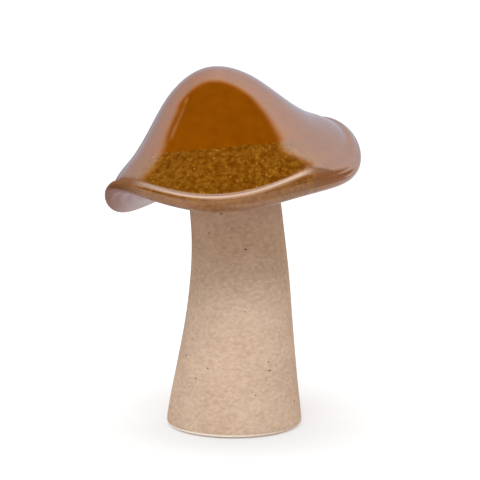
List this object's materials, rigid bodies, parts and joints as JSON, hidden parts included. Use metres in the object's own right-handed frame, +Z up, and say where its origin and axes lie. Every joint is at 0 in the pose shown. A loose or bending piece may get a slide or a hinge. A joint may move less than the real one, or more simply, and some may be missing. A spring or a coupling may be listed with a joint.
{
  "type": "ceramic mushroom ornament",
  "caption": "Free-standing ceramic mushroom ornament: bare stoneware stem with a flared foot, under a tilted, glossy amber-glazed cap with a wavy rolled brim.",
  "frame": {"origin": "middle of the foot, on the surface that the ornament stands on", "axes": "+Z up from the foot to the cap; the front with the low lip of the brim looks along -Y; +X to the viewer's right, where the cap is tilted up"},
  "size_m": [0.1125, 0.1175, 0.1606],
  "materials": {
    "bare_stoneware": "matte sandy buff stoneware with fine grain and sparse dark specks",
    "cap_clay": "fired clay under the glaze",
    "luting_slip": "matte fired slip",
    "amber_glaze": "glossy amber glaze, smooth on the dome and speckled on the brim"
  },
  "bodies": {
    "root": {"stem": "bare_stoneware", "cap_body": "cap_clay", "joint_slip": "luting_slip", "cap_glaze": "amber_glaze"}
  },
  "joints": []
}
